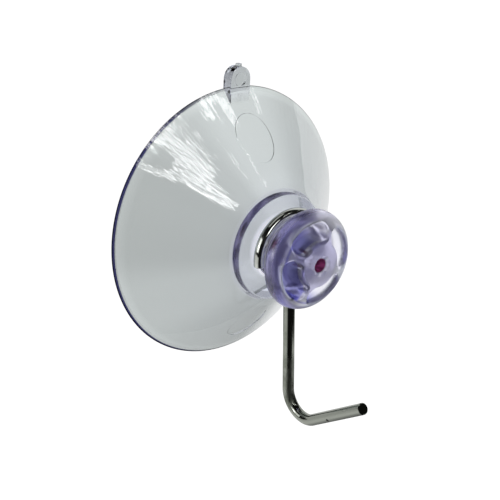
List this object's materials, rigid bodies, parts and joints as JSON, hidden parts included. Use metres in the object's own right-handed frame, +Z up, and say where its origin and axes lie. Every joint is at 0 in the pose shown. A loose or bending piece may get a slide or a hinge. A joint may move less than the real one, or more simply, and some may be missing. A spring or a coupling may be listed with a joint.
{
  "type": "suction cup hook",
  "caption": "Clear soft plastic suction cup with a domed head, a pull tab and a bent wire hook that swivels round its neck.",
  "frame": {"origin": "centre of the flat band of lip that meets the wall, on the cup's axis", "axes": "-Y along the cup's axis, out of the wall; +Z up, with the tab within 4 degrees of it and the hook hanging down"},
  "size_m": [0.06, 0.0434, 0.0736],
  "materials": {
    "clear_plastic": "clear soft vinyl, polished, violet where it is thick",
    "plated_wire": "bright plated steel wire"
  },
  "bodies": {
    "cup": {"suction_cup": "clear_plastic"},
    "hook": {"wire_hook": "plated_wire"}
  },
  "joints": [
    {"name": "hook_swivel", "type": "hinge", "parent": "cup", "child": "hook", "pos_m": [0, -0.0203, 0], "axis": [0, -1, 0], "continuous": true}
  ]
}
